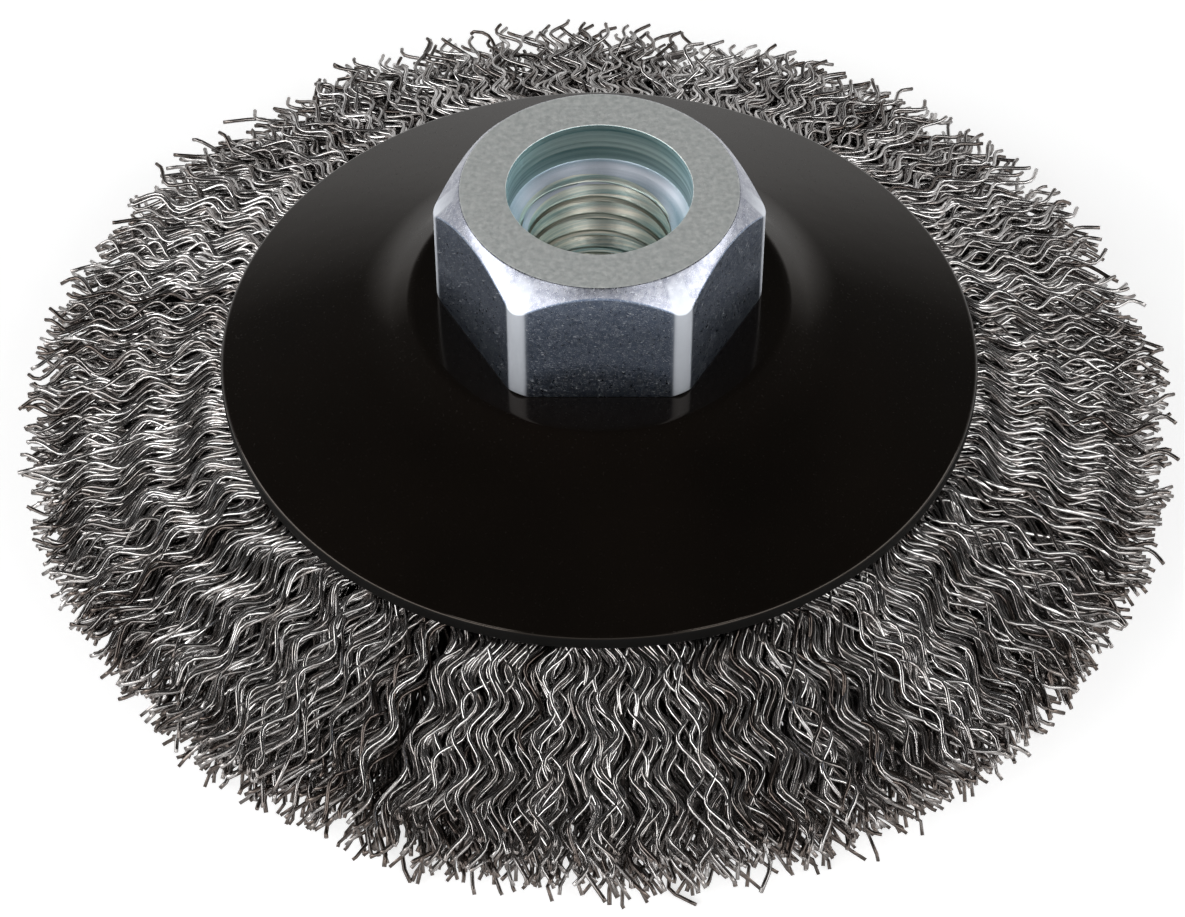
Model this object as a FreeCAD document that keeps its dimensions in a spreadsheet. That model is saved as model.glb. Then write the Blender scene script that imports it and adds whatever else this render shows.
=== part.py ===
import FreeCAD
import Part
import Sketcher
import os
import re
from math import cos, hypot, pi, radians, sin, sqrt, tan

# Conical brush of crimped steel wire for the threaded spindle of an angle grinder.
# Millimetres, +Z up through the nut. The origin is on the axis, in the plane of the lowest wire tips.
# The wires are bent round a ring as hairpins. A pressed cup above and a dished plate below clamp them,
# and the shank of the nut goes through both and is flared under the plate.

# Driving sizes: name, value, what it measures
SIZES = [
    ("brush_diameter", 101.5, "over the tips of the upper wires"),
    ("lower_tip_diameter", 93, "over the edge of the lowest wire tips"),
    ("seat_height", 23, "wire tips to the flat on which the nut sits"),
    ("thread_diameter", 14, "spindle thread, nominal"),
    ("thread_pitch", 2, "spindle thread"),
    ("nut_flats", 24, "across the flats of the hexagon"),
    ("nut_height", 12, "hexagon, seat to top face"),
    ("nut_face_diameter", 22.8, "flat ring on top of the nut, inside the turned chamfer"),
    ("nut_chamfer_angle", 50, "slope of the turned chamfer, degrees from level"),
    ("nut_foot_diameter", 26.6, "flat under the hexagon, inside its small chamfer"),
    ("nut_corner_round", 1.7, "rounding of the six upright edges"),
    ("relief_diameter", 15.2, "smooth bore over the thread"),
    ("relief_depth", 5.1, "top face to the first thread"),
    ("lead_in_height", 1.3, "cone from the smooth bore to the thread"),
    ("relief_lip", 0.2, "chamfer at the mouth of the smooth bore"),
    ("shank_wall", 2.6, "outside of the thread to the outside of the shank"),
    ("flare_reach", 2.4, "how far the flared end stands out from the shank"),
    ("flare_thickness", 1.4, "flared end under the plate"),
    ("fit_gap", 0.05, "shank in its holes, wires against cup, plate and ring"),
    ("cup_diameter", 64.4, "over the rim of the pressed cup"),
    ("cup_thickness", 1.3, "sheet of the cup"),
    ("cup_slope", 18.5, "outer band of the cup and the wires under it, degrees"),
    ("boss_foot_diameter", 38, "where the boss runs out into the band"),
    ("boss_spread", 3.2, "how far the foot of the boss stands out from its top edge"),
    ("boss_drop", 1.9, "height of the boss"),
    ("boss_round", 1.2, "edge of the boss"),
    ("plate_diameter", 54, "over the rim of the lower plate"),
    ("plate_thickness", 1.5, "sheet of the lower plate"),
    ("plate_flat_diameter", 30, "flat middle of the lower plate"),
    ("ring_diameter", 40.6, "middle of the ring that holds the hairpins"),
    ("ring_width", 1.8, "section of the ring, inside to outside"),
    ("ring_height", 1.4, "section of the ring, top to bottom"),
    ("strand_count", 44, "hairpin strands round the brush"),
    ("bend_thickness", 1.4, "strand where it is bent round the ring"),
    ("layer_gap", 1.2, "height between upper and lower strands over the lowest tips"),
    ("strand_gap", 0.35, "between neighbours inside the cup"),
    ("tip_gap", 1.1, "between neighbours at the tips"),
    ("crimp_length", 5.7, "one full wave of the crimp"),
    ("crimp_height", 1.5, "crimp, from side to side"),
    ("tip_scatter", 0.9, "longest strand to shortest"),
]

# The standard metric thread: its crests stand in by this many pitches, measured over the diameter
THREAD_DEPTH = 1.0825
# Strands of different length before the pattern repeats
STRAND_PATTERN = 11
# Two places closer than this are the same, and a side flatter than this is flat
TOUCH = 0.001
FLAT = 0.000001

doc = FreeCAD.newDocument("ConicalBrush")
sheet = doc.addObject("Spreadsheet::Sheet", "Sizes")
for row, (alias, value, meaning) in enumerate(SIZES, start=1):
    sheet.set(f"A{row}", str(value))
    sheet.setAlias(f"A{row}", alias)
    sheet.set(f"B{row}", meaning)
doc.recompute()
ALIASES = {alias for alias, value, meaning in SIZES}


def size(alias):
    """A driving size as a number, for the shapes that are worked out in code."""
    return float(getattr(sheet, alias))


def sheet_text(text):
    """An expression in the words of the sheet, with the sheet's name before each word."""
    return re.sub(r"[a-z_]+", lambda word: "Sizes." + word[0] if word[0] in ALIASES else word[0], text)


# Places that several pieces share, in the words of the sheet
BORE_RADIUS = f"(thread_diameter - {THREAD_DEPTH} * thread_pitch) / 2"
SHANK_RADIUS = "(thread_diameter / 2 + shank_wall)"
HOLE_RADIUS = f"({SHANK_RADIUS} + fit_gap)"
NUT_TOP = "(seat_height + nut_height)"
LEVEL = "0 deg"
BAND_SLOPE = "(cup_slope * 1 deg)"
FLANGE_SLOPE = "(lower_slope * 1 deg)"
BOSS_RADIUS = "(boss_foot_diameter / 2 - boss_spread)"
BOSS_SLOPE = "atan(boss_drop / boss_spread)"
CUP_FOOT = "(seat_height - boss_drop)"
RIM_TOP = f"({CUP_FOOT} - (cup_diameter - boss_foot_diameter) / 2 * tan(cup_slope))"
RING_INSIDE = "((ring_diameter - ring_width) / 2)"
RING_OUTSIDE = "((ring_diameter + ring_width) / 2)"
BEND_RADIUS = f"({RING_INSIDE} - fit_gap)"
TIP_RADIUS = "(lower_tip_diameter / 2)"


def cup_line(radius):
    """Height of the straight line that the upper strands keep under the cup."""
    drop = f"({radius} - cup_diameter / 2) * tan(cup_slope)"
    return f"({RIM_TOP} - (cup_thickness + fit_gap) / cos(cup_slope) - {drop})"


def between(radius, bend_height, tip_height):
    """Height of the straight line from the hairpin's bend to over or under the lowest tips."""
    share = f"({radius} - {BEND_RADIUS}) / ({TIP_RADIUS} - {BEND_RADIUS})"
    return f"({bend_height} - ({bend_height} - {tip_height}) * {share})"


# The two layers of wires share the room between the cup and the lowest tips, and clasp the ring at their bend
UPPER_BEND = f"({cup_line(BEND_RADIUS)} - bend_thickness / cos(cup_slope))"
UPPER_TIP = f"(({cup_line(TIP_RADIUS)} + layer_gap) / 2)"
LOWER_TIP = f"(({cup_line(TIP_RADIUS)} - layer_gap) / 2)"
RING_TOP = f"({between(RING_OUTSIDE, UPPER_BEND, UPPER_TIP)} - fit_gap)"
RING_FOOT = f"({RING_TOP} - ring_height)"
LOWER_BEND = f"({RING_FOOT} - fit_gap)"
LOWER_REACH = f"({TIP_RADIUS} - {BEND_RADIUS})"
# The lower wires run from under the ring down to their tips, which sets the slope of the plate's flange
LOWER_SLOPE = (f"(acos(bend_thickness / sqrt({LOWER_REACH} ^ 2 + {LOWER_BEND} ^ 2))"
               f" - atan({LOWER_REACH} / {LOWER_BEND})) / 1 deg")
sheet.set(f"A{len(SIZES) + 1}", "=" + LOWER_SLOPE)
sheet.setAlias(f"A{len(SIZES) + 1}", "lower_slope")
sheet.set(f"B{len(SIZES) + 1}", "flange of the plate and the wires on it, degrees")
doc.recompute()
ALIASES.add("lower_slope")


def lower_line(radius):
    """Height of the straight line that the lower strands keep on the plate."""
    return f"(({TIP_RADIUS} - {radius}) * tan(lower_slope))"


def flange_height(diameter):
    """Top of the lower plate's flange at a diameter, under the lowest wires."""
    return f"({lower_line(diameter + ' / 2')} - fit_gap / cos(lower_slope))"


PLATE_TOP = flange_height("plate_flat_diameter")
PLATE_UNDER = f"({PLATE_TOP} - plate_thickness)"


def under_bend(radius, height, thickness, before, after):
    """The corner under a bend of sheet metal, from the corner on top and the slopes beside it."""
    half = f"cos(({before} - {after}) / 2)"
    mean = f"(({before} + {after}) / 2)"
    return (f"{radius} - {thickness} * sin{mean} / {half}", f"{height} - {thickness} * cos{mean} / {half}")


def outline(body, name, corners, plane="XZ_Plane"):
    """A closed outline in a body. Each corner is tied to the sheet, and may have the radius of a bend."""
    sketch = body.newObject("Sketcher::SketchObject", name)
    origin_plane = [item for item in body.Origin.OriginFeatures if item.Role == plane][0]
    sketch.AttachmentSupport = [(origin_plane, "")]
    sketch.MapMode = "FlatFace"
    texts = [[sheet_text(text) for text in corner] for corner in corners]
    places = [[float(sketch.evalExpression(text)) for text in corner] for corner in texts]
    points = [FreeCAD.Vector(place[0], place[1], 0) for place in places]
    bends = []
    for index, place in enumerate(places):
        before, here, after = points[index - 1], points[index], points[(index + 1) % len(points)]
        bends.append(bend_arc(before, here, after, place[2]) if len(place) == 3 else (here, None, here))
    for index in range(len(points)):
        sketch.addGeometry(Part.LineSegment(bends[index][2], bends[(index + 1) % len(points)][0]), False)
    for index, (start, middle, end) in enumerate(bends):
        line_before = (index - 1) % len(points)
        if middle is None:
            sketch.addConstraint(Sketcher.Constraint("Coincident", line_before, 2, index, 1))
            held = (index, 1)
        else:
            arc = sketch.addGeometry(Part.Arc(start, middle, end), False)
            first = 1 if sketch.getPoint(arc, 1).distanceToPoint(start) < TOUCH else 2
            sketch.addConstraint(Sketcher.Constraint("Tangent", line_before, 2, arc, first))
            sketch.addConstraint(Sketcher.Constraint("Tangent", arc, 3 - first, index, 1))
            tie(sketch, ("Radius", arc), places[index][2], texts[index][2])
            corner = sketch.addGeometry(Part.Point(points[index]), True)
            sketch.addConstraint(Sketcher.Constraint("PointOnObject", corner, 1, line_before))
            sketch.addConstraint(Sketcher.Constraint("PointOnObject", corner, 1, index))
            held = (corner, 1)
        tie(sketch, ("DistanceX", -1, 1) + held, places[index][0], texts[index][0])
        tie(sketch, ("DistanceY", -1, 1) + held, places[index][1], texts[index][1])
    return sketch


def tie(sketch, words, value, text):
    """A dimension in a sketch that follows the sheet."""
    place = sketch.addConstraint(Sketcher.Constraint(*words, value))
    sketch.setExpression(f"Constraints[{place}]", text)


def bend_arc(before, corner, after, radius):
    """Start, middle and end of the arc that rounds a corner."""
    toward = (before - corner).normalize()
    away = (after - corner).normalize()
    half = toward.getAngle(away) / 2
    centre = corner + (toward + away).normalize() * (radius / sin(half))
    middle = centre + (corner - centre).normalize() * radius
    return corner + toward * (radius / tan(half)), middle, corner + away * (radius / tan(half))


def turned(body, kind, name, corners):
    """A turned feature: an outline beside the axis, revolved to add or to cut."""
    feature = body.newObject(kind, name)
    profile = outline(body, name + "Profile", corners)
    feature.Profile = profile
    feature.ReferenceAxis = (profile, ["V_Axis"])
    feature.Angle = 360
    profile.Visibility = False
    return feature


def rounded(body, name, base, radius_text, wanted):
    """A fillet on the edges of a feature that a test picks out."""
    doc.recompute()
    edges = [f"Edge{index}" for index, edge in enumerate(base.Shape.Edges, start=1) if wanted(edge)]
    fillet = body.newObject("PartDesign::Fillet", name)
    fillet.Base = (base, edges)
    fillet.setExpression("Radius", sheet_text(radius_text))
    return fillet


def make_nut():
    """Zinc plated hexagon nut with a smooth bore over its thread, and a shank that is flared below."""
    body = doc.addObject("PartDesign::Body", "ThreadedNut")
    flare_under = f"({PLATE_UNDER} - flare_thickness)"
    turned(body, "PartDesign::Revolution", "Shank", [
        (BORE_RADIUS, NUT_TOP),
        (SHANK_RADIUS, NUT_TOP),
        (SHANK_RADIUS, PLATE_UNDER),
        (f"{SHANK_RADIUS} + flare_reach", PLATE_UNDER),
        (f"{SHANK_RADIUS} + flare_reach", flare_under),
        (BORE_RADIUS, flare_under),
    ])
    hexagon = outline(body, "Hexagon", [
        (f"nut_flats / 2 / cos(30) * cos({60 * corner})", f"nut_flats / 2 / cos(30) * sin({60 * corner})")
        for corner in range(6)
    ], "XY_Plane")
    hexagon.setExpression("AttachmentOffset.Base.z", sheet_text("seat_height"))
    flats = body.newObject("PartDesign::Pad", "Flats")
    flats.Profile = hexagon
    flats.setExpression("Length", sheet_text("nut_height"))
    hexagon.Visibility = False

    def upright_corner(edge):
        ends = [vertex.Point for vertex in edge.Vertexes]
        upright = len(ends) == 2 and hypot(ends[0].x - ends[1].x, ends[0].y - ends[1].y) < 0.001
        return upright and hypot(ends[0].x, ends[0].y) > size("nut_flats") / 2

    rounded(body, "CornerRounds", flats, "nut_corner_round", upright_corner)
    reach = "nut_flats"
    turned(body, "PartDesign::Groove", "TopChamfer", [
        ("nut_face_diameter / 2", NUT_TOP),
        (reach, NUT_TOP),
        (reach, f"{NUT_TOP} - ({reach} - nut_face_diameter / 2) * tan(nut_chamfer_angle)"),
    ])
    turned(body, "PartDesign::Groove", "FootChamfer", [
        ("nut_foot_diameter / 2", "seat_height"),
        (reach, f"seat_height + ({reach} - nut_foot_diameter / 2) * tan(45)"),
        (reach, "seat_height"),
    ])
    bore_under = f"({flare_under} - flare_thickness)"
    turned(body, "PartDesign::Groove", "Bore", [
        ("0", NUT_TOP),
        ("relief_diameter / 2 + relief_lip", NUT_TOP),
        ("relief_diameter / 2", f"{NUT_TOP} - relief_lip"),
        ("relief_diameter / 2", f"{NUT_TOP} - relief_depth + lead_in_height"),
        (BORE_RADIUS, f"{NUT_TOP} - relief_depth"),
        (BORE_RADIUS, bore_under),
        ("0", bore_under),
    ])
    return body


def make_cup():
    """Pressed steel cup: a flat boss under the nut, a hollow bend and a sloping band out to the rim."""
    body = doc.addObject("PartDesign::Body", "UpperCup")
    under_top = (BOSS_RADIUS, "seat_height", "cup_thickness", LEVEL, BOSS_SLOPE)
    under_foot = ("boss_foot_diameter / 2", CUP_FOOT, "cup_thickness", BOSS_SLOPE, BAND_SLOPE)
    turned(body, "PartDesign::Revolution", "Pressing", [
        (HOLE_RADIUS, "seat_height"),
        (BOSS_RADIUS, "seat_height", "boss_round"),
        ("boss_foot_diameter / 2", CUP_FOOT),
        ("cup_diameter / 2", RIM_TOP),
        ("cup_diameter / 2", f"{RIM_TOP} - cup_thickness / cos(cup_slope)"),
        under_bend(*under_foot),
        under_bend(*under_top),
        (HOLE_RADIUS, "seat_height - cup_thickness"),
    ])
    return body


def make_plate():
    """Dished steel plate under the wires: a flat middle, and a flange along the lower wires."""
    body = doc.addObject("PartDesign::Body", "LowerPlate")
    rim_top = flange_height("plate_diameter")
    turned(body, "PartDesign::Revolution", "Pressing", [
        (HOLE_RADIUS, PLATE_TOP),
        ("plate_flat_diameter / 2", PLATE_TOP),
        ("plate_diameter / 2", rim_top),
        ("plate_diameter / 2", f"{rim_top} - plate_thickness / cos(lower_slope)"),
        under_bend("plate_flat_diameter / 2", PLATE_TOP, "plate_thickness", LEVEL, FLANGE_SLOPE),
        (HOLE_RADIUS, PLATE_UNDER),
    ])
    return body


def make_ring():
    """Square steel ring inside the hairpins. The wires bear on its upper outside and its lower inside edge."""
    body = doc.addObject("PartDesign::Body", "RetainingRing")
    turned(body, "PartDesign::Revolution", "Section", [
        (RING_INSIDE, RING_TOP),
        (RING_OUTSIDE, RING_TOP),
        (RING_OUTSIDE, RING_FOOT),
        (RING_INSIDE, RING_FOOT),
    ])
    return body


doc.recompute()
nut = make_nut()
cup = make_cup()
plate = make_plate()
ring = make_ring()
doc.recompute()


def number(text):
    """The value of an expression in the words of the sheet."""
    return float(sheet.evalExpression(sheet_text(text)))


class Leg:
    """One leg of a hairpin seen from the side: its outer and its inner line run straight out to the tip."""

    def __init__(self, slope, side, line, ends, rim_radius, tip_radius):
        self.slope = radians(slope)
        self.side = side
        self.line = line
        self.bend_height, tip_height = number(ends[0]), number(ends[1])
        self.fall = (self.bend_height - tip_height) / number(LOWER_REACH)
        self.rim_radius = rim_radius
        self.length = (tip_radius - rim_radius) / cos(self.slope)

    def outer(self, radius):
        """Point on the outer line, as radius and height."""
        return (radius, number(self.line(str(radius))))

    def inner_height(self, radius):
        """Height of the inner line at a radius."""
        return self.bend_height - (radius - number(BEND_RADIUS)) * self.fall

    def inner(self, radius):
        """Point on the inner line, straight through the strand from the outer line."""
        outer = self.outer(radius)
        thickness = (outer[1] - self.inner_height(radius)) / (cos(self.slope) + sin(self.slope) * self.fall)
        return (outer[0] - sin(self.slope) * thickness, outer[1] - cos(self.slope) * thickness)


UPPER_LEG = Leg(size("cup_slope"), 1, cup_line, (UPPER_BEND, UPPER_TIP),
                size("cup_diameter") / 2, size("brush_diameter") / 2)
LOWER_LEG = Leg(size("lower_slope"), -1, lower_line, (LOWER_BEND, LOWER_TIP),
                size("plate_diameter") / 2, size("lower_tip_diameter") / 2)


def crimped_stations(leg, pitch, scatter):
    """Sections of one leg from the rim to its tip, at each turn of as many half waves as fit."""
    halves = int(2 * leg.length / size("crimp_length"))
    stations = []
    for step in range(halves + 1):
        share = step / halves
        radius = leg.rim_radius + leg.length * share * cos(leg.slope)
        swing = (-1) ** step * size("crimp_height") / 2 if step else 0
        sideways = leg.side * radius * pitch / 4 * share + swing
        if step == halves:
            radius = sqrt(radius ** 2 - sideways ** 2) - scatter * cos(leg.slope)
        inner = leg.inner(radius)
        gap = size("strand_gap") + (size("tip_gap") - size("strand_gap")) * share
        stations.append((leg.outer(radius), inner, sideways, (inner[0] * pitch - gap) / 2))
    return stations


def hairpin(index):
    """One strand of wires as a hairpin round the ring: crimped leg, bend, crimped leg."""
    pitch = 2 * pi / size("strand_count")
    scatter = size("tip_scatter") * (3 * index % STRAND_PATTERN) / (STRAND_PATTERN - 1)
    half_width = (number(BEND_RADIUS) * pitch - size("strand_gap")) / 2
    flat = sqrt(number(BEND_RADIUS) ** 2 - half_width ** 2)
    bends = [(leg.outer(flat - size("bend_thickness")), (flat, leg.inner_height(flat)), 0, half_width)
             for leg in (UPPER_LEG, LOWER_LEG)]
    upper = crimped_stations(UPPER_LEG, pitch, scatter)
    return strand_solid(upper[::-1] + bends + crimped_stations(LOWER_LEG, pitch, scatter), index * pitch)


def strand_solid(stations, turn):
    """A closed solid through three-cornered sections, each a ridge outside and a flat side inside."""
    sections = []
    for outer, inner, sideways, half_width in stations:
        sections.append([
            FreeCAD.Vector(outer[0], sideways, outer[1]),
            FreeCAD.Vector(inner[0], sideways - half_width, inner[1]),
            FreeCAD.Vector(inner[0], sideways + half_width, inner[1]),
        ])
    faces = [flat_face(*end) for end in (sections[0], sections[-1])]
    for near, far in zip(sections, sections[1:]):
        for corner in range(3):
            after = (corner + 1) % 3
            faces += panel(near[corner], near[after], far[after], far[corner])
    solid = Part.Solid(Part.Shell(faces))
    if solid.Volume < 0:
        solid.reverse()
    solid.rotate(FreeCAD.Vector(0, 0, 0), FreeCAD.Vector(0, 0, 1), turn * 180 / pi)
    return solid


def flat_face(*corners):
    """A flat face through its corners."""
    return Part.Face(Part.makePolygon(list(corners) + [corners[0]]))


def panel(first, second, third, fourth):
    """A four-cornered side of a strand: one flat face, or two where it is twisted."""
    normal = (second - first).cross(third - first).normalize()
    if abs(normal.dot(fourth - first)) < FLAT:
        return [flat_face(first, second, third, fourth)]
    return [flat_face(first, second, third), flat_face(first, third, fourth)]


wires = doc.addObject("Part::Feature", "CrimpedWires")
wires.Shape = Part.makeCompound([hairpin(index) for index in range(int(size("strand_count")))])
doc.recompute()

PIECES = {"threaded_nut": nut, "upper_cup": cup, "lower_plate": plate, "retaining_ring": ring, "crimped_wires": wires}
for name, piece in PIECES.items():
    piece.Label = name
for item in doc.Objects:
    if {"Invalid", "Error"} & set(item.State):
        raise RuntimeError(f"{item.Name} failed: {item.State}")
os.makedirs("parts", exist_ok=True)
for name, piece in PIECES.items():
    if piece.Shape.isNull() or not piece.Shape.isValid():
        raise RuntimeError(f"{name} has no valid shape")
for name, piece in PIECES.items():
    piece.Shape.exportStep(f"parts/{name}.step")
    print(name, len(piece.Shape.Solids), "solids", round(piece.Shape.Volume, 2), "mm3")
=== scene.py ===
import bpy
import numpy as np
from math import atan2, cos, pi, radians, sin, tan
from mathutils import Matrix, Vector


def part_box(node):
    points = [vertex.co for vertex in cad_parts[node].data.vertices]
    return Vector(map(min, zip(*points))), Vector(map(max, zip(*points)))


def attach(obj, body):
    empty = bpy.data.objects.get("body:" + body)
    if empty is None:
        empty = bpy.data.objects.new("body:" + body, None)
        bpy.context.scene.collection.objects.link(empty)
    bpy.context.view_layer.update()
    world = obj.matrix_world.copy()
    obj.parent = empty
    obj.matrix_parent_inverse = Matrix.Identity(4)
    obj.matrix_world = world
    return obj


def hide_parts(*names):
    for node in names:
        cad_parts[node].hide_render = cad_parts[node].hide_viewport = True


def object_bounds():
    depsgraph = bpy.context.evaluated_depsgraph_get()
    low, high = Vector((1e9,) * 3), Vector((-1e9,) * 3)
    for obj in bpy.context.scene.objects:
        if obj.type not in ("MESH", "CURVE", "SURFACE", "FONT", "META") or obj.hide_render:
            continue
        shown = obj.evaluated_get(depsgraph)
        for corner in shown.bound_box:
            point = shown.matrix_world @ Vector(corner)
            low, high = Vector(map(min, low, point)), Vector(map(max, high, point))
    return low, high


# Conical wire brush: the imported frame, a studio, and one section for each piece of the brush.
# Sizes are in millimetres and become metres where a mesh or a light is made.
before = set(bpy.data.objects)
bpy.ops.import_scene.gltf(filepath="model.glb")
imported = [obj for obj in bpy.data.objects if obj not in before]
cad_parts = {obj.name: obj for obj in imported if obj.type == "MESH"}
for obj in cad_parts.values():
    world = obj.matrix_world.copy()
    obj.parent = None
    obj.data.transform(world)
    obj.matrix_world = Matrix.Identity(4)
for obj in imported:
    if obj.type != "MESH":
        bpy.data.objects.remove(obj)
cad_box = [list(corner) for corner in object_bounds()]
MM = 0.001

# Camera, at the height and distance from which the photo was taken
IMAGE_WIDTH = 1185
FOCAL_PIXELS = 3360
SENSOR_WIDTH = 36
NEAREST_SEEN = 10
CAMERA_DISTANCE = 297
CAMERA_HEIGHT_ANGLE = radians(48.05)
CAMERA_AIM = Vector((-0.57, 0, 2.2))
camera = bpy.data.objects.new("camera", bpy.data.cameras.new("camera"))
bpy.context.scene.collection.objects.link(camera)
camera.data.sensor_width = SENSOR_WIDTH
camera.data.lens = FOCAL_PIXELS / IMAGE_WIDTH * SENSOR_WIDTH
camera.data.clip_start = NEAREST_SEEN * MM
toward_camera = Vector((0, -cos(CAMERA_HEIGHT_ANGLE), sin(CAMERA_HEIGHT_ANGLE)))
camera.location = (CAMERA_AIM + toward_camera * CAMERA_DISTANCE) * MM
camera.rotation_euler = toward_camera.to_track_quat("Z", "Y").to_euler()
bpy.context.scene.camera = camera
bpy.context.scene.view_settings.view_transform = "Standard"

# Floor: plain and pale. It takes the brush's shadow, and looks white to the camera and in the metal.
FLOOR_WIDTH = 4000
FLOOR_PAINT = 0.8
FLOOR_WHITE = 0.6


def add_node(tree, kind, settings=None, inputs=None):
    """A node with its settings. An input is a value, or the output of another node."""
    node = tree.nodes.new("ShaderNode" + kind)
    for name, value in (settings or {}).items():
        setattr(node, name, value)
    for name, value in (inputs or {}).items():
        if isinstance(value, bpy.types.NodeSocket):
            tree.links.new(value, node.inputs[name])
        else:
            node.inputs[name].default_value = value
    return node


floor_mesh = bpy.data.meshes.new("floor")
half = FLOOR_WIDTH / 2 * MM
floor_corners = [(-half, -half, 0), (half, -half, 0), (half, half, 0), (-half, half, 0)]
floor_mesh.from_pydata(floor_corners, [], [(0, 1, 2, 3)])
floor = bpy.data.objects.new("floor", floor_mesh)
bpy.context.scene.collection.objects.link(floor)
floor_paint = bpy.data.materials.new("floor_paint")
floor_paint.use_nodes = True
tree = floor_paint.node_tree
tree.nodes.clear()
light_path = add_node(tree, "LightPath")
seen = add_node(tree, "Math", {"operation": "MAXIMUM"}, {
    0: light_path.outputs["Is Camera Ray"],
    1: light_path.outputs["Is Glossy Ray"],
})
seen = add_node(tree, "Math", {"operation": "MAXIMUM"}, {
    0: seen.outputs[0],
    1: light_path.outputs["Is Transmission Ray"],
})
own_light = add_node(tree, "Math", {"operation": "MULTIPLY"}, {0: seen.outputs[0], 1: FLOOR_WHITE})
glow = add_node(tree, "Emission", None, {"Color": (1, 1, 1, 1), "Strength": own_light.outputs[0]})
paint = add_node(tree, "BsdfDiffuse", None, {"Color": (FLOOR_PAINT, FLOOR_PAINT, FLOOR_PAINT, 1)})
both = add_node(tree, "AddShader", None, {0: glow.outputs[0], 1: paint.outputs[0]})
add_node(tree, "OutputMaterial", None, {"Surface": both.outputs[0]})
floor_mesh.materials.append(floor_paint)

# Studio: white walls low down, a dark ceiling, and large soft lamps to both sides, behind and above
# the camera. They stand where the camera doesn't see them in the lacquer.
WALL_LIGHT = 0.85
WALL_LOW = sin(radians(10))
WALL_TOP = sin(radians(26))
CEILING_LIGHT = 0.14
CEILING_TOP = sin(radians(66))
ZENITH_LIGHT = 0.035
LAMP_DISTANCE = 900


def between(tree, factor, low, high, start=0.0, end=1.0):
    """A value that runs from low to high while the factor runs from start to end."""
    node = add_node(tree, "MapRange", None, {
        "Value": factor, "From Min": start, "From Max": end, "To Min": low, "To Max": high,
    })
    return node.outputs["Result"]


world = bpy.data.worlds.new("studio")
bpy.context.scene.world = world
world.use_nodes = True
tree = world.node_tree
tree.nodes.clear()
direction = add_node(tree, "TexCoord")
height = add_node(tree, "SeparateXYZ", None, {"Vector": direction.outputs["Generated"]})
wall = between(tree, height.outputs["Z"], WALL_LIGHT, CEILING_LIGHT, WALL_LOW, WALL_TOP)
darker = between(tree, height.outputs["Z"], 0, CEILING_LIGHT - ZENITH_LIGHT, WALL_TOP, CEILING_TOP)
level = add_node(tree, "Math", {"operation": "SUBTRACT"}, {0: wall, 1: darker}).outputs[0]
sky = add_node(tree, "Background", None, {"Color": (1, 1, 1, 1), "Strength": level})
add_node(tree, "OutputWorld", None, {"Surface": sky.outputs[0]})


def soft_lamp(name, azimuth, elevation, width, height, light):
    """A large soft lamp that faces the brush from a direction in degrees.

    Its light is what a white surface of its size would send.
    """
    lamp = bpy.data.objects.new(name, bpy.data.lights.new(name, "AREA"))
    lamp.data.shape = "RECTANGLE"
    lamp.data.size = width * MM
    lamp.data.size_y = height * MM
    lamp.data.energy = light * pi * width * height * MM * MM
    azimuth, elevation = radians(azimuth), radians(elevation)
    away = Vector((cos(elevation) * cos(azimuth), cos(elevation) * sin(azimuth), sin(elevation)))
    lamp.location = away * LAMP_DISTANCE * MM
    lamp.rotation_euler = away.to_track_quat("Z", "Y").to_euler()
    lamp.visible_camera = False
    bpy.context.scene.collection.objects.link(lamp)


soft_lamp("left_lamp", 182, 23, 680, 230, 6)
soft_lamp("front_left_lamp", 226, 24, 640, 240, 5.2)
soft_lamp("front_lamp", 270, 28, 640, 200, 1.5)
soft_lamp("front_right_lamp", 314, 24, 640, 240, 4.4)
soft_lamp("right_lamp", -2, 23, 680, 230, 4.2)
soft_lamp("upper_left_lamp", 236, 46, 200, 160, 5)
soft_lamp("upper_right_lamp", 304, 46, 200, 160, 5)

# Lower plate and retaining ring: plain cold rolled steel, pressed and cut, left as the mill made it.
# The plate is held by the nut's flared end, and the ring by the wires that are bent round it.
# Both are solids of the frame, and keep their shape.
ROLLED_STEEL = "8c8a86"
ROLLED_STEEL_DARK = "5b5956"
MILL_CLOUDS = 9
MILL_GRAIN_WIDTH = 0.5
MILL_GRAIN_STRETCH = (14, 1, 1)
MILL_GRAIN_DEPTH = 0.01
MILL_SMOOTH, MILL_ROUGH = 0.28, 0.5
NOISE_LOW, NOISE_HIGH = 0.3, 0.7


def colour(code):
    """A colour written as on a screen, as linear values for a shader."""
    channels = [int(code[place:place + 2], 16) / 255 for place in (0, 2, 4)]
    return [c / 12.92 if c <= 0.04045 else ((c + 0.055) / 1.055) ** 2.4 for c in channels] + [1]


def new_material(name, **values):
    """A material with one Principled shader, whose steady values are set on its own sockets."""
    material = bpy.data.materials.new(name)
    material.use_nodes = True
    shader = material.node_tree.nodes["Principled BSDF"]
    for socket, value in values.items():
        shader.inputs[socket.replace("_", " ")].default_value = value
    return material, material.node_tree, shader


def mixed(tree, factor, first, second):
    """A colour between two colours."""
    node = add_node(tree, "Mix", {"data_type": "RGBA"})
    for place, value in ((0, factor), (6, first), (7, second)):
        if isinstance(value, bpy.types.NodeSocket):
            tree.links.new(value, node.inputs[place])
        else:
            node.inputs[place].default_value = value
    return node.outputs[2]


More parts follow.
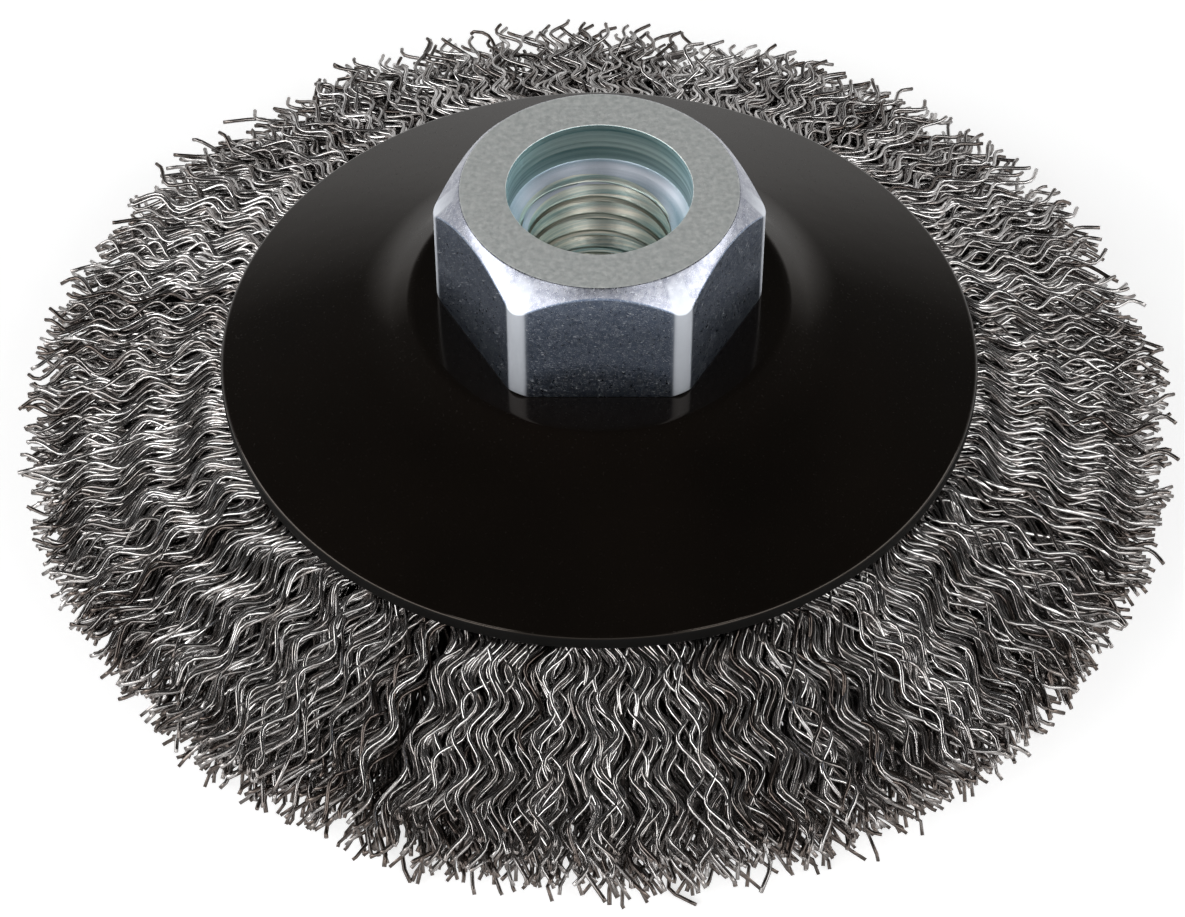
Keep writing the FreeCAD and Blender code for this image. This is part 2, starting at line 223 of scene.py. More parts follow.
def noise(tree, coordinates, size_mm, detail=3.0, stretch=(1, 1, 1), turn=(0, 0, 0)):
    """Noise whose features are size_mm across, or that times the stretch along each turned axis."""
    placed = add_node(tree, "Mapping", {"vector_type": "TEXTURE"}, {
        "Vector": coordinates,
        "Rotation": turn,
        "Scale": [MM * size_mm * share for share in stretch],
    })
    node = add_node(tree, "TexNoise", None, {
        "Vector": placed.outputs["Vector"], "Scale": 1.0, "Detail": detail,
    })
    return node.outputs["Fac"]


def bump(tree, shader, height, depth_mm, strength):
    """Relief of a given depth from a height between 0 and 1."""
    node = add_node(tree, "Bump", None, {
        "Height": height, "Distance": depth_mm * MM, "Strength": strength,
    })
    tree.links.new(node.outputs["Normal"], shader.inputs["Normal"])


# Cold rolled steel: dull grey with soft clouds, and the fine grain of the rolls along the sheet
rolled_steel, tree, shader = new_material("rolled_steel", Metallic=1.0)
place = add_node(tree, "TexCoord").outputs["Object"]
clouds = noise(tree, place, MILL_CLOUDS)
grain = noise(tree, place, MILL_GRAIN_WIDTH, stretch=MILL_GRAIN_STRETCH)
steel_colour = mixed(tree, clouds, colour(ROLLED_STEEL_DARK), colour(ROLLED_STEEL))
tree.links.new(steel_colour, shader.inputs["Base Color"])
steel_roughness = between(tree, grain, MILL_SMOOTH, MILL_ROUGH, NOISE_LOW, NOISE_HIGH)
tree.links.new(steel_roughness, shader.inputs["Roughness"])
bump(tree, shader, grain, MILL_GRAIN_DEPTH, strength=0.4)
for node in ("lower_plate", "retaining_ring"):
    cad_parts[node].data.materials.clear()
    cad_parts[node].data.materials.append(rolled_steel)

# Cup: steel sheet pressed into a boss, a hollow bend and a sloping band, then dipped in black lacquer,
# which is glossy and runs softly over every edge. The nut's shank holds it by the hole in its middle.
CUP_SHEET = 1.3
CUP_SLOPE = radians(18.5)
CUP_HOLE_RADIUS = 9.65
BOSS_RADIUS = 15.8
BOSS_FOOT_RADIUS = 19
BOSS_DROP = 1.9
HOLE_EDGE_ROUND = 0.1
BOSS_BEND = 1.6
BOSS_BEND_INSIDE = 1
HOLLOW_BEND = 16
HOLLOW_BEND_UNDER = 3
RIM_ROUND = 0.55
RIM_ROUND_UNDER = 0.3
CUP_COLUMNS = 240
cup_low, cup_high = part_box("upper_cup")
seat = cup_high.z / MM
cup_radius = cup_high.x / MM
cup_foot = seat - BOSS_DROP
rim_top = cup_foot - (cup_radius - BOSS_FOOT_RADIUS) * tan(CUP_SLOPE)
rim_under = cup_low.z / MM
boss_slope = atan2(BOSS_DROP, BOSS_FOOT_RADIUS - BOSS_RADIUS)


def mesh_piece(name, points, faces, materials, node, face_material=None, flat_faces=None):
    """A piece from points in millimetres and from faces that are shaded smooth.

    Flat faces, with another number of corners, may be added.
    """
    points = np.asarray(points, np.float32) * MM
    groups = [np.asarray(group, np.int32) for group in (faces, flat_faces) if group is not None]
    corners = np.concatenate([np.full(len(group), group.shape[1]) for group in groups])
    loops = np.concatenate([group.ravel() for group in groups])
    mesh = bpy.data.meshes.new(name)
    mesh.vertices.add(len(points))
    mesh.vertices.foreach_set("co", points.ravel())
    mesh.loops.add(len(loops))
    mesh.loops.foreach_set("vertex_index", loops)
    mesh.polygons.add(len(corners))
    mesh.polygons.foreach_set("loop_start", (np.cumsum(corners) - corners).astype(np.int32))
    for material in materials:
        mesh.materials.append(material)
    if face_material is not None:
        mesh.polygons.foreach_set("material_index", np.asarray(face_material, np.int32))
    mesh.update(calc_edges=True)
    mesh.validate()
    mesh.polygons.foreach_set("use_smooth", np.arange(len(corners)) < len(faces))
    piece = bpy.data.objects.new(name, mesh)
    bpy.context.scene.collection.objects.link(piece)
    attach(piece, "root")
    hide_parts(node)
    return piece


def rounded_line(corners, steps, most_of_side=0.48):
    """A line through corners (across, up, radius of the corner), with each corner as an arc.

    Across, up and radius may be arrays, for a line whose place changes round the axis. An arc takes
    no more of the sides beside it than the given share.
    """
    corners = [[np.asarray(value, float) for value in corner] for corner in corners]
    shape = np.broadcast_shapes(*[value.shape for corner in corners for value in corner])
    corners = [[np.broadcast_to(value, shape) for value in corner] for corner in corners]
    line = [np.stack(corners[0][:2], -1)]
    for before, here, after in zip(corners, corners[1:], corners[2:]):
        point = np.stack(here[:2], -1)
        into = point - np.stack(before[:2], -1)
        out = np.stack(after[:2], -1) - point
        into_length = np.linalg.norm(into, axis=-1)
        out_length = np.linalg.norm(out, axis=-1)
        into = into / into_length[..., None]
        out = out / out_length[..., None]
        half_turn = np.arccos(np.clip((into * out).sum(-1), -1, 1)) / 2
        reach = np.minimum(here[2] * np.tan(half_turn), most_of_side * np.minimum(into_length, out_length))
        start = point - into * reach[..., None]
        end = point + out * reach[..., None]
        for step in range(steps + 1):
            share = step / steps
            line.append((1 - share) ** 2 * start + 2 * share * (1 - share) * point + share ** 2 * end)
    line.append(np.stack(corners[-1][:2], -1))
    return np.stack(line)


def grid_faces(rows, columns):
    """Four-cornered faces of a grid that closes on itself across its columns."""
    row, column = np.meshgrid(np.arange(rows - 1), np.arange(columns), indexing="ij")
    after = (column + 1) % columns
    near, far = row * columns, (row + 1) * columns
    return np.stack([near + column, near + after, far + after, far + column], -1).reshape(-1, 4)


def turned_grid(line, angles):
    """Points and faces of a line (across, up), the same or another at each angle round the axis."""
    if line.ndim == 2:
        line = np.repeat(line[:, None], len(angles), axis=1)
    across, up = line[..., 0], line[..., 1]
    points = np.stack([across * np.cos(angles), across * np.sin(angles), up], -1)
    return points.reshape(-1, 3), grid_faces(len(line), len(angles))


def under(across, up, before, after):
    """The corner under a bend of the sheet, between the slopes before and after it."""
    half_turn = cos((before - after) / 2)
    mean = (before + after) / 2
    return across - CUP_SHEET * sin(mean) / half_turn, up - CUP_SHEET * cos(mean) / half_turn


cup_line = rounded_line([
    (CUP_HOLE_RADIUS, seat - CUP_SHEET, 0),
    (CUP_HOLE_RADIUS, seat, HOLE_EDGE_ROUND),
    (BOSS_RADIUS, seat, BOSS_BEND),
    (BOSS_FOOT_RADIUS, cup_foot, HOLLOW_BEND),
    (cup_radius, rim_top, RIM_ROUND),
    (cup_radius, rim_under, RIM_ROUND_UNDER),
    (*under(BOSS_FOOT_RADIUS, cup_foot, boss_slope, CUP_SLOPE), HOLLOW_BEND_UNDER),
    (*under(BOSS_RADIUS, seat, 0, boss_slope), BOSS_BEND_INSIDE),
    (CUP_HOLE_RADIUS, seat - CUP_SHEET, 0),
], steps=7)
cup_points, cup_faces = turned_grid(cup_line, np.arange(CUP_COLUMNS) * 2 * pi / CUP_COLUMNS)

# Black stoving lacquer, dipped: deep and glossy with a slow waver, and a few dull specks of dust.
# On the cut edge of the rim it is thin and dull.
LACQUER = "070605"
LACQUER_WARM = "120e0b"
LACQUER_SHEEN = "fff0e2"
LACQUER_CLOUDS = 12
LACQUER_WAVER = 2.2
LACQUER_WAVER_DEPTH = 0.02
DUST_SIZE = 0.2
DUST_START, DUST_FULL = 0.62, 0.8
GLOSSY, DUSTY = 0.10, 0.42
RIM_EDGE_WIDTH = 0.08
edge_lacquer = new_material(
    "edge_lacquer", Base_Color=colour(LACQUER), Roughness=0.7, Specular_IOR_Level=0.12)[0]
lacquer, tree, shader = new_material(
    "black_lacquer", Specular_IOR_Level=0.28, Specular_Tint=colour(LACQUER_SHEEN))
place = add_node(tree, "TexCoord").outputs["Object"]
clouds = noise(tree, place, LACQUER_CLOUDS)
dust = noise(tree, place, DUST_SIZE, detail=1)
waver = noise(tree, place, LACQUER_WAVER, detail=2)
tree.links.new(mixed(tree, clouds, colour(LACQUER), colour(LACQUER_WARM)), shader.inputs["Base Color"])
tree.links.new(between(tree, dust, GLOSSY, DUSTY, DUST_START, DUST_FULL), shader.inputs["Roughness"])
bump(tree, shader, waver, LACQUER_WAVER_DEPTH, strength=0.35)
cup_middle = cup_points[cup_faces].mean(axis=1)
at_edge = np.hypot(cup_middle[:, 0], cup_middle[:, 1]) > cup_radius - RIM_EDGE_WIDTH
cup_materials = [lacquer, edge_lacquer]
mesh_piece(
    "pressed_cup", cup_points, cup_faces[:, ::-1], cup_materials, "upper_cup", at_edge)

# Nut: a turned steel hexagon with a smooth bore over its thread, zinc plated and passivated, slightly
# knocked about. Its shank goes down through the cup and the plate, and is flared under the plate.
NUT_APOTHEM = 12
NUT_CORNER_ROUND = 1.7
NUT_FACE_RADIUS = 11.4
NUT_FOOT_RADIUS = 13.3
FOOT_EDGE = 0.06
CHAMFER_SLOPE = tan(radians(50))
RELIEF_RADIUS = 7.6
RELIEF_DEPTH = 5.1
RELIEF_LIP = 0.06
LEAD_IN_HEIGHT = 1.3
LEAD_IN_ROUND = 0.15
THREAD_OUTSIDE = 7
THREAD_INSIDE = 5.9175
THREAD_PITCH = 2
SHANK_RADIUS = 9.6
FLARE_RADIUS = 12
FLARE_THICKNESS = 1.4
FLARE_ROUND = 0.5
SHANK_BEND = 0.2
EDGE_ROUND = 0.3
FINE_ROUND = 0.1
LIP_ROUND = 0.05
NUT_COLUMNS = 300
CLOSER_AT_CORNERS = 0.7
THREAD_COLUMNS = 120
THREAD_ROWS_A_TURN = 20
nut_low, nut_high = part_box("threaded_nut")
nut_top = nut_high.z / MM
flare_under = nut_low.z / MM
thread_top = nut_top - RELIEF_DEPTH
angles = np.arange(NUT_COLUMNS) * 2 * pi / NUT_COLUMNS
angles -= CLOSER_AT_CORNERS * np.sin(6 * angles) / 6
off_corner = np.abs((angles + pi / 6) % (pi / 3) - pi / 6)
corner_centre = (NUT_APOTHEM - NUT_CORNER_ROUND) / cos(pi / 6)
round_end = atan2(NUT_CORNER_ROUND / 2, corner_centre + NUT_CORNER_ROUND * cos(pi / 6))
on_round = np.sqrt(np.maximum(NUT_CORNER_ROUND ** 2 - (corner_centre * np.sin(off_corner)) ** 2, 0))
hexagon = np.where(off_corner < round_end, corner_centre * np.cos(off_corner) + on_round,
                   NUT_APOTHEM / np.cos(pi / 6 - off_corner))
chamfer_foot = nut_top - (hexagon - NUT_FACE_RADIUS) * CHAMFER_SLOPE
foot_chamfer = np.maximum(hexagon - NUT_FOOT_RADIUS, FOOT_EDGE)
nut_line = rounded_line([
    (THREAD_INSIDE, thread_top, 0),
    (RELIEF_RADIUS, thread_top + LEAD_IN_HEIGHT, LEAD_IN_ROUND),
    (RELIEF_RADIUS, nut_top - RELIEF_LIP, LIP_ROUND),
    (RELIEF_RADIUS + RELIEF_LIP, nut_top, LIP_ROUND),
    (NUT_FACE_RADIUS, nut_top, EDGE_ROUND),
    (hexagon, chamfer_foot, EDGE_ROUND),
    (hexagon, seat + foot_chamfer, EDGE_ROUND / 2),
    (hexagon - foot_chamfer, seat, FINE_ROUND),
    (SHANK_RADIUS, seat, FINE_ROUND),
    (SHANK_RADIUS, flare_under + FLARE_THICKNESS, SHANK_BEND),
    (FLARE_RADIUS, flare_under + FLARE_THICKNESS, FLARE_ROUND),
    (FLARE_RADIUS, flare_under, FLARE_ROUND),
    (THREAD_INSIDE, flare_under, SHANK_BEND),
], steps=4)
nut_points, nut_faces = turned_grid(nut_line, angles)

# The thread's surface: its rows follow the helix up into the cone under the smooth bore. From one crest
# up, a pitch has a broad flank that faces up, a narrow root, a steep flank that faces down, and a crest.
PROFILE_SHARES = (0, 0.5, 0.55, 0.72, 1)
PROFILE_RADII = (THREAD_INSIDE, THREAD_OUTSIDE, THREAD_OUTSIDE, THREAD_INSIDE, THREAD_INSIDE)
THREAD_RUN_OUT = 0.6
HAIR = 0.02
turns = (thread_top - flare_under) / THREAD_PITCH + 1
rows = int(turns * THREAD_ROWS_A_TURN) + 1
thread_angles = np.arange(THREAD_COLUMNS + 1) * 2 * pi / THREAD_COLUMNS
along = np.linspace(0, turns * THREAD_PITCH, rows)[:, None] - THREAD_PITCH
thread_height = flare_under + along + THREAD_PITCH * thread_angles[None] / (2 * pi)
thread_height = np.clip(thread_height, flare_under, thread_top + THREAD_RUN_OUT)
phase = (thread_height / THREAD_PITCH - thread_angles[None] / (2 * pi)) % 1
thread_radius = np.interp(phase, PROFILE_SHARES, PROFILE_RADII)
lead_in = THREAD_INSIDE + (thread_height - thread_top) * (RELIEF_RADIUS - THREAD_INSIDE) / LEAD_IN_HEIGHT
thread_radius = np.maximum(thread_radius, lead_in - HAIR)
thread_across = thread_radius * np.cos(thread_angles)
thread_back = thread_radius * np.sin(thread_angles)
thread_points = np.stack([thread_across, thread_back, thread_height], -1)
row, column = np.meshgrid(np.arange(rows - 1), np.arange(THREAD_COLUMNS), indexing="ij")
start = row * (THREAD_COLUMNS + 1) + column
above = start + THREAD_COLUMNS + 1
thread_faces = np.stack([start, above, above + 1, start + 1], -1).reshape(-1, 4)
has_height = np.ptp(thread_height.ravel()[thread_faces], axis=1) > 1e-6
thread_faces = thread_faces[has_height]

# Bright zinc plating, passivated: a cool grey metal, mottled, with light scratches and rubbed corners that
# are partly a painted highlight.
# The bore is greenish and the thread warm, where the passivation lies thicker. Real scratches are
# about 0.02 mm wide, and are drawn wider, to show.
PLATING_CLOUDS = 0.5
SCRATCH_WIDTH = 0.07
SCRATCH_STRETCH = (9, 1, 1)
SCRATCH_TURNS = ((0.5, 0.3, 0.2), (-0.9, 0.7, 2.1), (1.4, -0.6, 1.1))
SCRATCH_START, SCRATCH_FULL = 0.66, 0.74
RUBBED_ZINC_AND_HIGHLIGHT = "e2e6ec"
RUBBED_ROUGHNESS = 0.62
SMOOTHER, ROUGHER = 0.03, 0.06
MOTTLE_DEPTH = 0.005
LATHE_DEPTH = 0.05
LATHE_STRETCH = (60, 60, 1)


def zinc(name, tone, tint, roughness, marked, mottle_size=0.3, lathe_lines=0):
    """Zinc plating between two colours, in clouds or, with a size for them, in lines of the lathe.

    Marked is how strongly its scratches show.
    """
    material, tree, shader = new_material(name, Metallic=1.0)
    place = add_node(tree, "TexCoord").outputs["Object"]
    mottle = noise(tree, place, mottle_size, detail=5)
    if lathe_lines:
        pattern = noise(tree, place, lathe_lines, detail=4, stretch=LATHE_STRETCH)
    else:
        pattern = noise(tree, place, PLATING_CLOUDS, detail=4)
    marks_and_highlight = add_node(tree, "Attribute", {"attribute_name": "wear_and_highlight"}).outputs["Fac"]
    for turn in SCRATCH_TURNS:
        scratches = noise(tree, place, SCRATCH_WIDTH, detail=1, stretch=SCRATCH_STRETCH, turn=turn)
        scratches = between(tree, scratches, 0, marked, SCRATCH_START, SCRATCH_FULL)
        marks_and_highlight = add_node(tree, "Math", {"operation": "MAXIMUM"}, {0: scratches, 1: marks_and_highlight}).outputs[0]
    plating = mixed(tree, between(tree, pattern, 0, 1, 0.35, 0.65), colour(tone), colour(tint))
    # Scratches and rubbed corners take the light rubbed zinc; on the corners it is partly a painted
    # highlight
    tree.links.new(mixed(tree, marks_and_highlight, plating, colour(RUBBED_ZINC_AND_HIGHLIGHT)), shader.inputs["Base Color"])
    plain_roughness = between(tree, mottle, roughness - SMOOTHER, roughness + ROUGHER, NOISE_LOW, NOISE_HIGH)
    tree.links.new(between(tree, marks_and_highlight, plain_roughness, RUBBED_ROUGHNESS), shader.inputs["Roughness"])
    if lathe_lines:
        bump(tree, shader, pattern, LATHE_DEPTH, strength=0.5)
    else:
        bump(tree, shader, mottle, MOTTLE_DEPTH, strength=0.5)
    return material


# One plating in tones set by where it faces: the light top face, the middle chamfer and the dark flats are
# painted light and shade
nut_materials = [
    zinc("zinc_face", "f4f6f4", "e0e4e2", 0.66, 0.4),
    zinc("zinc_sides", "7a8596", "657186", 0.29, 0.8, mottle_size=0.35),
    zinc("zinc_bore", "639297", "e2f4f4", 0.4, 0.2, lathe_lines=0.6),
    zinc("zinc_thread", "8fa8a6", "f3ecdc", 0.38, 0.2, lathe_lines=0.25),
    zinc("zinc_cone", "98a7b4", "cdd0da", 0.42, 0.2, lathe_lines=0.45),
    zinc("zinc_chamfer", "9fa1aa", "858894", 0.27, 0.7, mottle_size=0.35),
]
FACE, SIDES, BORE, THREAD, CONE, CHAMFER = range(len(nut_materials))

# Which plating each face has, from where its middle is
NEAR_SIDE = 0.06
CHAMFER_LOWEST = 3
middle = nut_points[nut_faces].mean(axis=1)
middle_radius = np.hypot(middle[:, 0], middle[:, 1])
in_bore = (middle_radius < RELIEF_RADIUS + HAIR) & (middle[:, 2] > thread_top)
in_cone = in_bore & (middle[:, 2] < thread_top + LEAD_IN_HEIGHT)
on_face = (middle_radius < NUT_FACE_RADIUS) & (middle[:, 2] > nut_top - RELIEF_LIP)
side_radius = np.interp(np.arctan2(middle[:, 1], middle[:, 0]), angles, hexagon, period=2 * pi)
off_side = (middle_radius > NUT_FACE_RADIUS) & (middle_radius < side_radius - NEAR_SIDE)
on_chamfer = off_side & (middle[:, 2] > seat + CHAMFER_LOWEST)
face_material = np.select([in_cone, in_bore, on_face, on_chamfer], [CONE, BORE, FACE, CHAMFER], SIDES)
face_material = np.concatenate([face_material, np.full(len(thread_faces), THREAD)])
points = np.concatenate([nut_points, thread_points.reshape(-1, 3)])
faces = np.concatenate([nut_faces[:, ::-1], thread_faces + len(nut_points)])
nut = mesh_piece(
    "hexagon_nut", points, faces, nut_materials, "threaded_nut", face_material)

# The hexagon's corners are rubbed light, down to the nut's foot: partly wear, partly a painted highlight
CORNER_WEAR_AND_HIGHLIGHT = 0.85
WEAR_AND_HIGHLIGHT_END = 1.15
WEAR_AND_HIGHLIGHT_FADE = 0.3
SIDE_SKIN = 0.01
WEAR_AND_HIGHLIGHT_FOOT = 0.05
on_corner = np.clip((WEAR_AND_HIGHLIGHT_END - off_corner / round_end) / WEAR_AND_HIGHLIGHT_FADE, 0, 1)
on_side = (nut_line[..., 0] > NUT_APOTHEM - SIDE_SKIN) & (nut_line[..., 1] > seat + WEAR_AND_HIGHLIGHT_FOOT)
wear_and_highlight = np.where(on_side, CORNER_WEAR_AND_HIGHLIGHT * on_corner, 0).ravel()
wear_and_highlight = np.concatenate([wear_and_highlight, np.zeros(len(points) - len(wear_and_highlight))])
nut.data.attributes.new("wear_and_highlight", "FLOAT", "POINT").data.foreach_set("value", wear_and_highlight.astype(np.float32))

# Wires: some thousands of hard drawn steel wires, each crimped before it was bent round the ring.
# Neighbours nest with their waves in step, a few cross them, and the tips are cut ragged.
# Layer 0 lies under the cup and layer 1 on the plate.
LEGS = 5600
WIRE_DIAMETER = 0.37
CRIMP_LENGTH = 5.4
CRIMP_HEIGHT = 1.5
TIP_RADIUS_UPPER = 50.6
TIP_RADIUS_LOWER = 46.8
LOWER_SLOPE = radians(27.56)
CLEARANCE = 0.25
LAYER_SPACING = 0.618034
LAYER_SPREAD = 0.1
LAYER_CROWDING = 1.4
START_RADIUS = 30.8
LOWER_START = 14
LOWER_START_LAYER = 0.55
STRAY_SHARE = 0.08
LOCKS = 46
TUFTS = 92
TUFT_CUT = 0.6
TUFT_GATHER = 0.6
SPLAY = 1.3
RISE = 0.8
BESIDE_RIM = 0.3
ABOVE_FLOOR = 0.05
INSIDE_BOX = 0.03
box_radius = min(cad_box[1][0], cad_box[1][1]) / MM - INSIDE_BOX
random = np.random.default_rng(7)
leg_number = np.arange(LEGS)
around = (leg_number + random.random(LEGS)) / LEGS * 2 * pi
layer = ((leg_number * LAYER_SPACING + LAYER_SPREAD * random.random(LEGS)) % 1) ** LAYER_CROWDING


def patches(wave_counts, strength):
    """Smooth change round the brush, with so many waves to a turn."""
    value = np.zeros(LEGS)
    for wave_count in wave_counts:
        value += np.sin(wave_count * around + random.uniform(0, 2 * pi) + layer * random.uniform(0, 3))
    return value * strength / len(wave_counts) ** 0.5


# A lock nests with its waves in step, a tuft gathers at its tips, and a stray goes its own way.
# These say how far the wires differ, with yaws in degrees, and rolls and phases in radians.
LOCK_LEAN, LOCK_EDGE, TUFT_LEAN = 2.3, 0.25, 3.7
YAW, YAW_OF_PATCH, YAW_OF_LOCK, YAW_OF_STRAY = 2, 2, 2.5, 12
PHASE, PHASE_OF_PATCH, PHASE_OF_LOCK, PHASE_OF_STRAY = 0.28, 1.4, 1.1, 3
ROLL, ROLL_OF_STRAY = radians(18), 1.2
LIFT = 0.3
SWING_SPREAD, SWING_LEAST, SWING_MOST = 0.15, 0.5, 1.35
LENGTH_SPREAD, LENGTH_LEAST, LENGTH_MOST = 0.04, 0.88, 1.12
stray = random.random(LEGS) < STRAY_SHARE
lock = (around / (2 * pi) * LOCKS + LOCK_LEAN * layer + LOCK_EDGE * random.random(LEGS)).astype(int)
lock_phase, lock_yaw = random.normal(0, 1, (2, LOCKS + 4))
tuft = around / (2 * pi) * TUFTS + TUFT_LEAN * layer
tuft_cut = np.abs(random.normal(0, 1, TUFTS + 5))
in_tuft = (tuft % 1 - 0.5) * 2 * pi * TIP_RADIUS_LOWER / TUFTS
splay, rise = random.normal(0, 1, (2, LEGS))
yaw = patches((7, 13), YAW_OF_PATCH) + YAW_OF_LOCK * lock_yaw[lock] + random.normal(0, YAW, LEGS)
yaw += stray * random.normal(0, YAW_OF_STRAY, LEGS)
lift = random.normal(0, LIFT, LEGS)
roll = random.normal(0, ROLL, LEGS) + stray * random.uniform(-ROLL_OF_STRAY, ROLL_OF_STRAY, LEGS)
crimp_phase = patches((3, 7, 11), PHASE_OF_PATCH) + PHASE_OF_LOCK * lock_phase[lock]
crimp_phase += random.normal(0, PHASE, LEGS)
crimp_phase = (crimp_phase + stray * random.uniform(-PHASE_OF_STRAY, PHASE_OF_STRAY, LEGS)) % (2 * pi)
swing = CRIMP_HEIGHT / 2 * np.clip(random.normal(1, SWING_SPREAD, LEGS), SWING_LEAST, SWING_MOST)
wave_length = CRIMP_LENGTH * np.clip(random.normal(1, LENGTH_SPREAD, LEGS), LENGTH_LEAST, LENGTH_MOST)
start_radius = START_RADIUS - LOWER_START * np.maximum(layer - LOWER_START_LAYER, 0)
tip_radius = TIP_RADIUS_UPPER - (TIP_RADIUS_UPPER - TIP_RADIUS_LOWER) * layer

# The tips are most ragged on top at the back, and below at the front
RAGGED = 1.9
RAGGED_WILD = 2.2
SPLAY_WILD = 1.5
WILD_BELOW = 0.8
TONE, TONE_OF_PATCH, TONE_SPREAD = 0.6, 0.12, 0.25
wild = np.clip(np.sin(around), 0, 1) ** 3 + WILD_BELOW * layer * np.clip(-np.sin(around), 0, 1)
ragged = np.abs(random.normal(0, RAGGED + layer + RAGGED_WILD * wild, LEGS))
tip_radius -= ragged + TUFT_CUT * tuft_cut[tuft.astype(int)]
splay *= 1 + SPLAY_WILD * wild
length = tip_radius - start_radius
tone = np.clip(TONE + patches((9, 23), TONE_OF_PATCH) + random.normal(0, TONE_SPREAD, LEGS), 0, 1)


def upper_height(radius):
    """Height of the uppermost wires, right under the cup and on from its rim."""
    return rim_under - CLEARANCE - (radius - cup_radius) * tan(CUP_SLOPE)


def lower_height(radius):
    """Height of the lowest wires, on the plate and on from its rim."""
    return CLEARANCE + (TIP_RADIUS_LOWER - radius) * tan(LOWER_SLOPE)


def wire_points(leg, along):
    """Middle of a wire at a distance along its leg, kept out of the cup, the floor and the box's sides."""
    radius = start_radius[leg] + along
    share = along / length[leg]
    middle_height = upper_height(radius) * (1 - layer[leg]) + lower_height(radius) * layer[leg]
    middle_height += lift[leg] * share
    phase = along / wave_length[leg] * 2 * pi + crimp_phase[leg]
    wave = np.sin(phase) * swing[leg]
    sideways = np.tan(np.radians(yaw[leg])) * along + wave * np.cos(roll[leg])
    sideways += (splay[leg] * SPLAY - TUFT_GATHER * in_tuft[leg]) * share ** 2
    height = middle_height + wave * np.sin(roll[leg]) + RISE * rise[leg] * share ** 3
    points = np.stack([
        radius * np.cos(around[leg]) - sideways * np.sin(around[leg]),
        radius * np.sin(around[leg]) + sideways * np.cos(around[leg]),
        height,
    ], -1)
    reach = np.hypot(points[..., 0], points[..., 1])
    pull = np.minimum(1, (box_radius - WIRE_DIAMETER / 2) / reach)
    points[..., :2] *= pull[..., None]
    reach = reach * pull
    cup_under = upper_height(reach) + CLEARANCE - WIRE_DIAMETER
    height = np.where(reach < cup_radius + BESIDE_RIM, np.minimum(points[..., 2], cup_under), points[..., 2])
    points[..., 2] = np.maximum(height, WIRE_DIAMETER / 2 + ABOVE_FLOOR)
    return points


# Hard drawn steel wire: from bright to dull from one wire to the next, and brownish in places from thin
# stains of oil. Painted shade darkens the lower wires toward their tips, and every tip.
WIRE_DARK = "5b5450"
WIRE_LIGHT = "dedcdb"
WIRE_STAIN = "7b6d64"
STAIN_LENGTH = 1.5
STAIN_START, STAIN_FULL, STAIN_MOST = 0.45, 0.75, 0.5
DRAWN_SMOOTH, DRAWN_ROUGH = 0.16, 0.28
wire_steel, tree, shader = new_material("wire_steel", Metallic=1.0)
place = add_node(tree, "TexCoord").outputs["Object"]
stain = noise(tree, place, STAIN_LENGTH)
wire_tone_and_painted_shade = add_node(tree, "Attribute", {"attribute_name": "wire_tone_and_painted_shade"}).outputs["Fac"]
grey = mixed(tree, wire_tone_and_painted_shade, colour(WIRE_DARK), colour(WIRE_LIGHT))
stained = between(tree, stain, 0, STAIN_MOST, STAIN_START, STAIN_FULL)
tree.links.new(mixed(tree, stained, grey, colour(WIRE_STAIN)), shader.inputs["Base Color"])
wire_roughness = between(tree, stain, DRAWN_SMOOTH, DRAWN_ROUGH, NOISE_LOW, NOISE_HIGH)
tree.links.new(wire_roughness, shader.inputs["Roughness"])
PAINTED_SHADE_BELOW = 0.8
PAINTED_SHADE_TIP = 0.5
SHORTEST_END = 0.2
FIRST_JOINT = 0.2


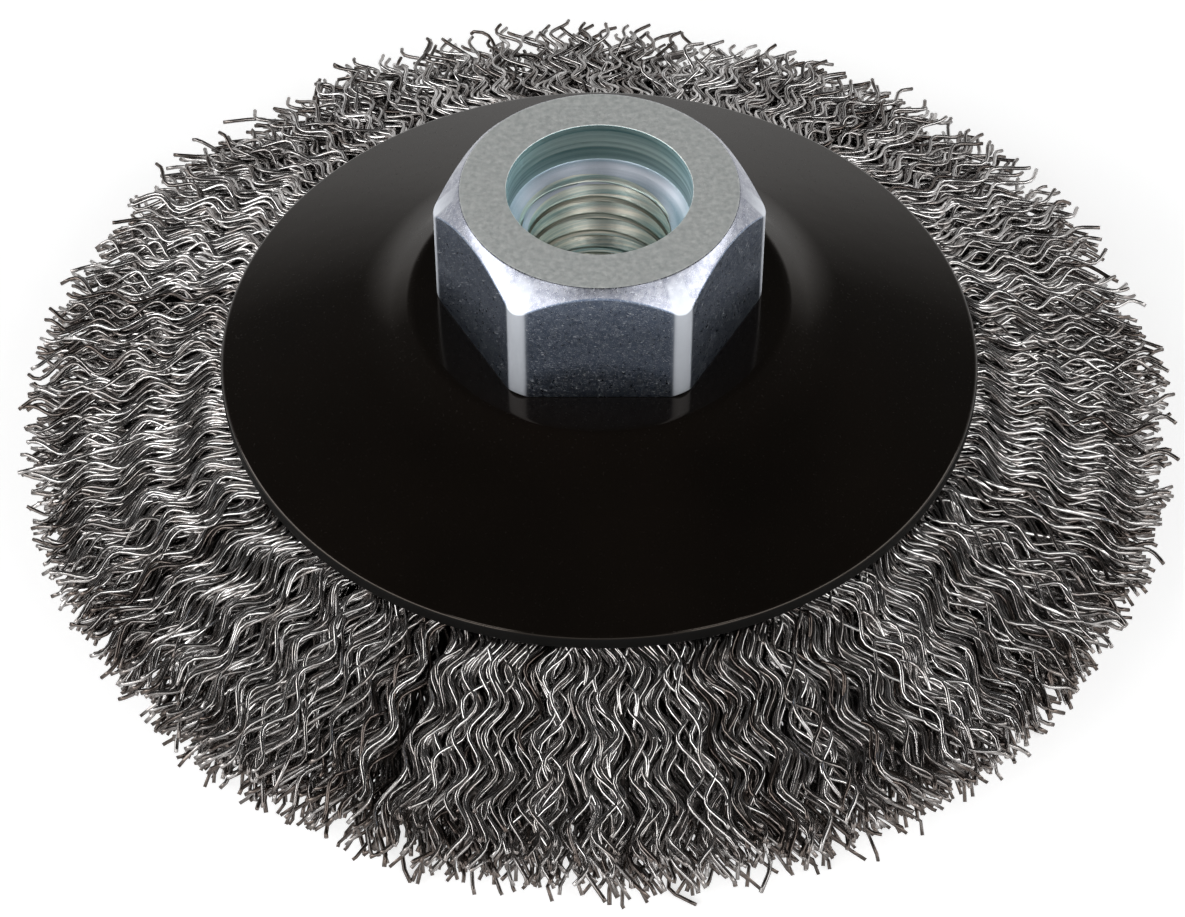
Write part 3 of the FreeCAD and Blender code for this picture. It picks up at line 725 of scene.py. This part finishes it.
def tubes(name, legs, joints_a_wave, corners, hidden_radius=0):
    """Legs as thin tubes with closed ends, without joints inside the radius up to which they are hidden."""
    joint = 2 * pi / joints_a_wave
    number = np.arange(int(length.max() / wave_length.min() * joints_a_wave) + 2)
    first = np.ceil(crimp_phase[legs] / joint + FIRST_JOINT) * joint - crimp_phase[legs]
    along = (first[:, None] + number * joint) / (2 * pi) * wave_length[legs][:, None]
    hidden = hidden_radius - start_radius[legs]
    kept = (along < length[legs][:, None] - SHORTEST_END) & (along > hidden[:, None])
    along = np.concatenate([np.zeros((len(legs), 1)), along, length[legs][:, None]], axis=1)
    kept = np.pad(kept, ((0, 0), (1, 1)), constant_values=True)
    leg = np.repeat(legs[:, None], along.shape[1], axis=1)[kept]
    centre = wire_points(leg, along[kept])

    joined = leg[1:] == leg[:-1]
    step = np.where(joined[:, None], centre[1:] - centre[:-1], 0)
    step /= np.maximum(np.linalg.norm(step, axis=1), 1e-9)[:, None]
    tangent = np.zeros_like(centre)
    tangent[1:] += step
    tangent[:-1] += step
    tangent /= np.linalg.norm(tangent, axis=1)[:, None]
    side = np.cross(tangent, [0, 0, 1])
    side /= np.linalg.norm(side, axis=1)[:, None]
    top = np.cross(side, tangent)
    angle = (0.25 + np.arange(corners) / corners) * 2 * pi
    ring = np.cos(angle)[:, None] * side[:, None] + np.sin(angle)[:, None] * top[:, None]
    points = centre[:, None] + ring * WIRE_DIAMETER / 2

    corner = np.arange(corners)
    after = (corner + 1) % corners
    near = np.nonzero(joined)[0][:, None] * corners
    far = near + corners
    faces = np.stack([near + after, near + corner, far + corner, far + after], -1).reshape(-1, 4)
    first = np.nonzero(np.diff(leg, prepend=-1, append=-1))[0][:, None]
    ends = np.concatenate([first[:-1] * corners + corner, (first[1:] - 1) * corners + corner[::-1]])
    piece = mesh_piece(
        name, points.reshape(-1, 3), faces, [wire_steel], "crimped_wires", flat_faces=ends)
    values = piece.data.attributes.new("wire_tone_and_painted_shade", "FLOAT", "POINT")
    share = along[kept] / length[leg]
    # Painted shade: the lower layers get darker toward their tips, and the last bit of every wire and its
    # cut end darker still
    tone_with_painted_shade = tone[leg] - PAINTED_SHADE_BELOW * layer[leg] * share ** 3 - PAINTED_SHADE_TIP * share ** 12
    values.data.foreach_set("value", np.repeat(tone_with_painted_shade, corners).astype(np.float32))


# The wires that are seen best have the most joints: the skin on top, then the next ones and the skin
# below. The core has few, and none where it is hidden.
TOP_SKIN = 0.13
SECOND_SKIN = 0.24
BOTTOM_SKIN = 0.9
CORE_HIDDEN_RADIUS = 37
top_skin = np.nonzero(layer < TOP_SKIN)[0]
core = np.nonzero((layer > SECOND_SKIN) & (layer < BOTTOM_SKIN))[0]
second_skin = np.setdiff1d(np.arange(LEGS), np.concatenate([top_skin, core]))
third = len(top_skin) // 3
tubes("crimped_wires_top_1", top_skin[:third], 9, 5)
tubes("crimped_wires_top_2", top_skin[third:2 * third], 9, 5)
tubes("crimped_wires_top_3", top_skin[2 * third:], 9, 5)
tubes("crimped_wires_second_1", second_skin[:len(second_skin) // 2], 8, 4)
tubes("crimped_wires_second_2", second_skin[len(second_skin) // 2:], 8, 4)
tubes("crimped_wires_core_1", core[:len(core) // 2], 4, 3, CORE_HIDDEN_RADIUS)
tubes("crimped_wires_core_2", core[len(core) // 2:], 4, 3, CORE_HIDDEN_RADIUS)
